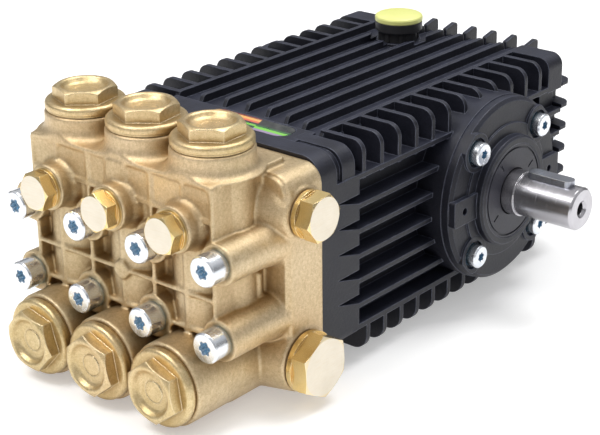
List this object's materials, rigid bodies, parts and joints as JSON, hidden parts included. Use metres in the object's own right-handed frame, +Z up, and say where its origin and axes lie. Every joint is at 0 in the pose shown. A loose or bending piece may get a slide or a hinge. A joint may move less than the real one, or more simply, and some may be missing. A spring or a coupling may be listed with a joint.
{
  "type": "pressure washer pump",
  "caption": "Plunger pump with a brass valve head, finned crankcase and keyed drive shaft, for a pressure washer.",
  "frame": {"origin": "centre of the four base bolts, on the base plane under the crankcase", "axes": "+X along the crankshaft towards the drive end, +Y from the valve head towards the rear of the crankcase, +Z up"},
  "size_m": [0.2322, 0.3318, 0.1502],
  "materials": {
    "cast_crankcase": "satin black powder coat",
    "cast_brass": "blasted satin",
    "cap_brass": "satin, turned and blasted",
    "plug_brass": "machined, bright",
    "zinc_steel": "zinc plated",
    "bearing_steel": "ground",
    "shaft_steel": "ground",
    "key_steel": "drawn",
    "rod_alloy": "die cast",
    "crosshead_steel": "turned",
    "ceramic": "polished ceramic",
    "valve_steel": "turned stainless",
    "seal_rubber": "matt",
    "gasket": "matt",
    "spacer_brass": "turned",
    "washer": "plain",
    "label": "printed stripes",
    "cap_plastic": "moulded",
    "cap_button": "moulded",
    "sight_glass": "clear over oil"
  },
  "bodies": {
    "pump_casing": {"bearing_cover_screws": "zinc_steel", "bearing_outer_rings": "bearing_steel", "bearing_rollers": "bearing_steel", "blind_side_bearing_cover": "cast_crankcase", "crankcase": "cast_crankcase", "crosshead_oil_seals": "seal_rubber", "delivery_valve_caps": "cap_brass", "delivery_valve_seats": "valve_steel", "delivery_valve_springs": "valve_steel", "drive_side_bearing_cover": "cast_crankcase", "gallery_plugs": "plug_brass", "head_bolts": "zinc_steel", "high_pressure_packings": "seal_rubber", "inlet_plug": "plug_brass", "label": "label", "low_pressure_packings": "seal_rubber", "manifold_head": "cast_brass", "oil_drain_plug": "zinc_steel", "oil_sight_glass": "sight_glass", "outlet_plug": "plug_brass", "packing_spacer_rings": "spacer_brass", "plug_washers": "washer", "rear_cover": "cast_crankcase", "rear_cover_gasket": "gasket", "rear_cover_screws": "zinc_steel", "shaft_seal": "seal_rubber", "suction_valve_caps": "cap_brass", "suction_valve_seats": "valve_steel", "suction_valve_springs": "valve_steel", "valve_cap_o_rings": "seal_rubber"},
    "crankshaft": {"crankshaft": "shaft_steel", "shaft_key": "key_steel", "bearing_inner_rings": "bearing_steel"},
    "con_rod_1": {"con_rod_1": "rod_alloy", "con_rod_cap_and_bolts_1": "rod_alloy", "wrist_pin_1": "shaft_steel"},
    "plunger_set_1": {"crosshead_1": "crosshead_steel", "plunger_1": "ceramic", "plunger_nut_1": "valve_steel"},
    "delivery_valve_1": {"delivery_poppet_1": "valve_steel"},
    "suction_valve_1": {"suction_poppet_1": "valve_steel"},
    "con_rod_2": {"con_rod_2": "rod_alloy", "con_rod_cap_and_bolts_2": "rod_alloy", "wrist_pin_2": "shaft_steel"},
    "plunger_set_2": {"crosshead_2": "crosshead_steel", "plunger_2": "ceramic", "plunger_nut_2": "valve_steel"},
    "delivery_valve_2": {"delivery_poppet_2": "valve_steel"},
    "suction_valve_2": {"suction_poppet_2": "valve_steel"},
    "con_rod_3": {"con_rod_3": "rod_alloy", "con_rod_cap_and_bolts_3": "rod_alloy", "wrist_pin_3": "shaft_steel"},
    "plunger_set_3": {"crosshead_3": "crosshead_steel", "plunger_3": "ceramic", "plunger_nut_3": "valve_steel"},
    "delivery_valve_3": {"delivery_poppet_3": "valve_steel"},
    "suction_valve_3": {"suction_poppet_3": "valve_steel"},
    "filler_cap": {"oil_filler_cap": "cap_plastic", "oil_filler_cap_button": "cap_button"}
  },
  "joints": [
    {"name": "crankshaft_spin", "type": "hinge", "parent": "pump_casing", "child": "crankshaft", "pos_m": [0, 0.046, 0.068], "axis": [1, 0, 0], "continuous": true},
    {"name": "con_rod_1_swing", "type": "hinge", "parent": "crankshaft", "child": "con_rod_1", "pos_m": [-0.044, 0.053, 0.068], "axis": [1, 0, 0], "continuous": true},
    {"name": "plunger_1_stroke", "type": "slide", "parent": "pump_casing", "child": "plunger_set_1", "axis": [0, 1, 0], "range_m": [-0.014, 0]},
    {"name": "con_rod_2_swing", "type": "hinge", "parent": "crankshaft", "child": "con_rod_2", "pos_m": [0, 0.0425, 0.07406], "axis": [1, 0, 0], "continuous": true},
    {"name": "plunger_2_stroke", "type": "slide", "parent": "pump_casing", "child": "plunger_set_2", "axis": [0, 1, 0], "range_m": [-0.0035, 0.0105]},
    {"name": "con_rod_3_swing", "type": "hinge", "parent": "crankshaft", "child": "con_rod_3", "pos_m": [0.044, 0.0425, 0.06194], "axis": [1, 0, 0], "continuous": true},
    {"name": "plunger_3_stroke", "type": "slide", "parent": "pump_casing", "child": "plunger_set_3", "axis": [0, 1, 0], "range_m": [-0.0035, 0.0105]},
    {"name": "delivery_valve_1_lift", "type": "slide", "parent": "pump_casing", "child": "delivery_valve_1", "axis": [0, 0, 1], "range_m": [0, 0.003], "stiffness_N_per_m": 250, "springref_m": -0.004, "deforming": ["delivery_valve_springs"]},
    {"name": "suction_valve_1_lift", "type": "slide", "parent": "pump_casing", "child": "suction_valve_1", "axis": [0, -1, 0], "range_m": [0, 0.003], "stiffness_N_per_m": 250, "springref_m": -0.004, "deforming": ["suction_valve_springs"]},
    {"name": "delivery_valve_2_lift", "type": "slide", "parent": "pump_casing", "child": "delivery_valve_2", "axis": [0, 0, 1], "range_m": [0, 0.003], "stiffness_N_per_m": 250, "springref_m": -0.004},
    {"name": "suction_valve_2_lift", "type": "slide", "parent": "pump_casing", "child": "suction_valve_2", "axis": [0, -1, 0], "range_m": [0, 0.003], "stiffness_N_per_m": 250, "springref_m": -0.004},
    {"name": "delivery_valve_3_lift", "type": "slide", "parent": "pump_casing", "child": "delivery_valve_3", "axis": [0, 0, 1], "range_m": [0, 0.003], "stiffness_N_per_m": 250, "springref_m": -0.004},
    {"name": "suction_valve_3_lift", "type": "slide", "parent": "pump_casing", "child": "suction_valve_3", "axis": [0, -1, 0], "range_m": [0, 0.003], "stiffness_N_per_m": 250, "springref_m": -0.004},
    {"name": "filler_cap_pull", "type": "slide", "parent": "pump_casing", "child": "filler_cap", "axis": [0, 0, 1], "range_m": [0, 0.03]}
  ],
  "couplings": [
    {"joint": "con_rod_1_swing", "follows": "crankshaft_spin", "ratio": -1},
    {"joint": "con_rod_2_swing", "follows": "crankshaft_spin", "ratio": -1},
    {"joint": "con_rod_3_swing", "follows": "crankshaft_spin", "ratio": -1}
  ]
}
